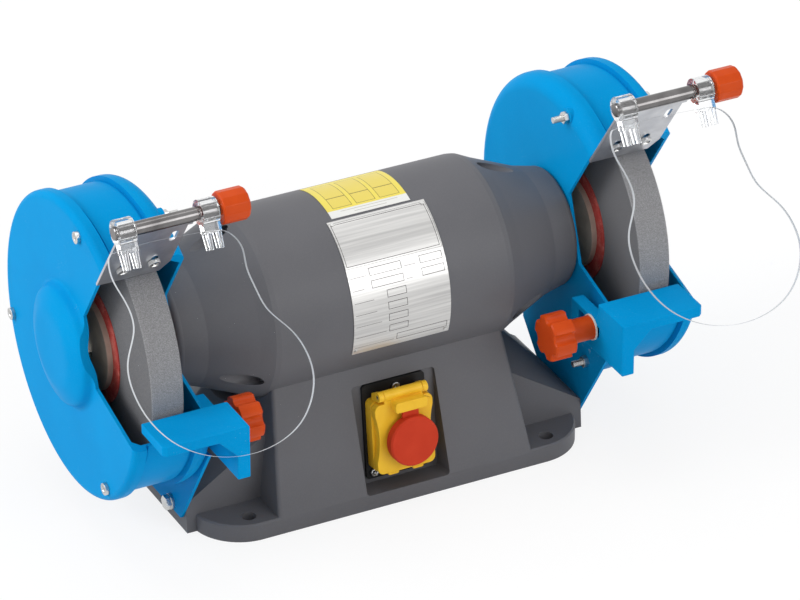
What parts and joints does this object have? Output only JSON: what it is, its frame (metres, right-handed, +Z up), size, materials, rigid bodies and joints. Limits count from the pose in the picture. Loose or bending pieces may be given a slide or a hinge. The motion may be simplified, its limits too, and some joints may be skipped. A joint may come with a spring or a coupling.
{
  "type": "bench grinder",
  "caption": "Bench grinder with a guarded grinding wheel at each end, hinged clear eye shields, tool rests and a covered switch on a cast pedestal.",
  "frame": {"origin": "centre of the four foot holes on the underside of the pedestal", "axes": "+X along the shaft to the viewer's right, +Z up, the front faces -Y"},
  "size_m": [0.527, 0.3099, 0.3097],
  "materials": {
    "blue_paint": "glossy blue enamel on sheet and cast guards",
    "grey_paint": "semi-matt grey enamel on castings and motor tube",
    "zinc_steel": "bright zinc-plated fasteners and arrestor plate",
    "dark_steel": "polished shield rod",
    "machined_steel": "turned shaft, flanges and bearing rings",
    "core_steel": "laminated core, oiled",
    "copper_winding": "varnished copper end turns",
    "abrasive": "vitrified grey grinding wheel",
    "blotter_paper": "red card blotter",
    "orange_plastic": "orange moulded knobs",
    "yellow_plastic": "yellow moulded switch",
    "red_plastic": "red moulded paddle and stop button",
    "green_plastic": "green moulded start button",
    "black_plastic": "black moulded plate and gland",
    "clear_sheet": "clear sheet and clamps",
    "plate_metal": "brushed plate with ruled fields",
    "label_film": "yellow printed film",
    "can_metal": "drawn can"
  },
  "bodies": {
    "frame": {"pedestal": "grey_paint", "base_cover": "zinc_steel", "base_cover_screws": "zinc_steel", "cable_gland": "black_plastic", "motor_housing": "grey_paint", "housing_screws": "zinc_steel", "left_end_bell": "grey_paint", "right_end_bell": "grey_paint", "tie_bolts": "zinc_steel", "stator_core": "core_steel", "stator_windings": "copper_winding", "capacitor": "can_metal", "bearing_outer_rings": "machined_steel", "nameplate": "plate_metal", "nameplate_rivets": "zinc_steel", "guide_label": "label_film", "left_inner_guard": "blue_paint", "right_inner_guard": "blue_paint", "left_outer_cover": "blue_paint", "right_outer_cover": "blue_paint", "cover_bolts": "zinc_steel", "guard_mount_screws": "zinc_steel", "lug_bolts": "zinc_steel", "arrestor_screws": "zinc_steel", "rest_bolts": "zinc_steel", "switch_plate": "black_plastic", "switch_plate_screws": "zinc_steel", "switch_body": "yellow_plastic", "cover_hinge_pin": "zinc_steel"},
    "rotor": {"rotor_shaft": "machined_steel", "rotor_core": "core_steel", "bearing_inner_rings": "machined_steel", "bearing_balls": "machined_steel", "wheel_flanges": "machined_steel", "paper_blotters": "blotter_paper", "left_wheel": "abrasive", "right_wheel": "abrasive", "wheel_nuts": "zinc_steel"},
    "left_arrestor_set": {"left_arrestor": "zinc_steel", "left_shield_rod": "dark_steel"},
    "left_shield": {"left_eye_shield": "clear_sheet", "left_shield_clamps": "clear_sheet"},
    "left_shield_knob": {"left_shield_knob": "orange_plastic"},
    "left_tool_rest": {"left_tool_rest": "blue_paint"},
    "left_rest_knob": {"left_rest_knob": "orange_plastic"},
    "right_arrestor_set": {"right_arrestor": "zinc_steel", "right_shield_rod": "dark_steel"},
    "right_shield": {"right_eye_shield": "clear_sheet", "right_shield_clamps": "clear_sheet"},
    "right_shield_knob": {"right_shield_knob": "orange_plastic"},
    "right_tool_rest": {"right_tool_rest": "blue_paint"},
    "right_rest_knob": {"right_rest_knob": "orange_plastic"},
    "switch_cover": {"switch_cover": "yellow_plastic"},
    "stop_paddle": {"stop_paddle": "red_plastic"},
    "start_button": {"start_button": "green_plastic"},
    "stop_button": {"stop_button": "red_plastic"}
  },
  "joints": [
    {"name": "rotor_spin", "type": "hinge", "parent": "frame", "child": "rotor", "pos_m": [0, 0, 0.147], "axis": [1, 0, 0], "continuous": true},
    {"name": "left_arrestor_slide", "type": "slide", "parent": "frame", "child": "left_arrestor_set", "axis": [0, 0.5736, -0.8192], "range_m": [-0.0045, 0.0025]},
    {"name": "left_shield_tilt", "type": "hinge", "parent": "left_arrestor_set", "child": "left_shield", "pos_m": [-0.1965, -0.1087, 0.29746], "axis": [-1, 0, 0], "range_deg": [-14, 75]},
    {"name": "left_shield_knob_turn", "type": "hinge", "parent": "left_arrestor_set", "child": "left_shield_knob", "pos_m": [-0.159, -0.1087, 0.29746], "axis": [1, 0, 0], "range_deg": [-90, 90]},
    {"name": "left_rest_slide", "type": "slide", "parent": "frame", "child": "left_tool_rest", "axis": [0, -1, 0], "range_m": [-0.002, 0.012]},
    {"name": "left_rest_knob_turn", "type": "hinge", "parent": "frame", "child": "left_rest_knob", "pos_m": [-0.1523, -0.095, 0.113], "axis": [-1, 0, 0], "range_deg": [-180, 180]},
    {"name": "right_arrestor_slide", "type": "slide", "parent": "frame", "child": "right_arrestor_set", "axis": [0, 0.5736, -0.8192], "range_m": [-0.0045, 0.0025]},
    {"name": "right_shield_tilt", "type": "hinge", "parent": "right_arrestor_set", "child": "right_shield", "pos_m": [0.1965, -0.1087, 0.29746], "axis": [-1, 0, 0], "range_deg": [-14, 75]},
    {"name": "right_shield_knob_turn", "type": "hinge", "parent": "right_arrestor_set", "child": "right_shield_knob", "pos_m": [0.234, -0.1087, 0.29746], "axis": [1, 0, 0], "range_deg": [-90, 90]},
    {"name": "right_rest_slide", "type": "slide", "parent": "frame", "child": "right_tool_rest", "axis": [0, -1, 0], "range_m": [-0.002, 0.012]},
    {"name": "right_rest_knob_turn", "type": "hinge", "parent": "frame", "child": "right_rest_knob", "pos_m": [0.1468, -0.095, 0.113], "axis": [1, 0, 0], "range_deg": [-180, 180]},
    {"name": "switch_cover_hinge", "type": "hinge", "parent": "frame", "child": "switch_cover", "pos_m": [0.0015, -0.07396, 0.08628], "axis": [-1, 0, 0], "range_deg": [0, 100]},
    {"name": "stop_paddle_press", "type": "slide", "parent": "switch_cover", "child": "stop_paddle", "axis": [0, 0.9942, -0.108], "range_m": [0, 0.0025], "stiffness_N_per_m": 800, "springref_m": -0.003},
    {"name": "start_button_press", "type": "slide", "parent": "frame", "child": "start_button", "axis": [0, 0.9942, -0.108], "range_m": [0, 0.0025], "stiffness_N_per_m": 600, "springref_m": -0.003},
    {"name": "stop_button_press", "type": "slide", "parent": "frame", "child": "stop_button", "axis": [0, 0.9942, -0.108], "range_m": [0, 0.0025], "stiffness_N_per_m": 600, "springref_m": -0.003}
  ],
  "couplings": [
    {"joint": "stop_button_press", "follows": "stop_paddle_press", "ratio": 1}
  ]
}
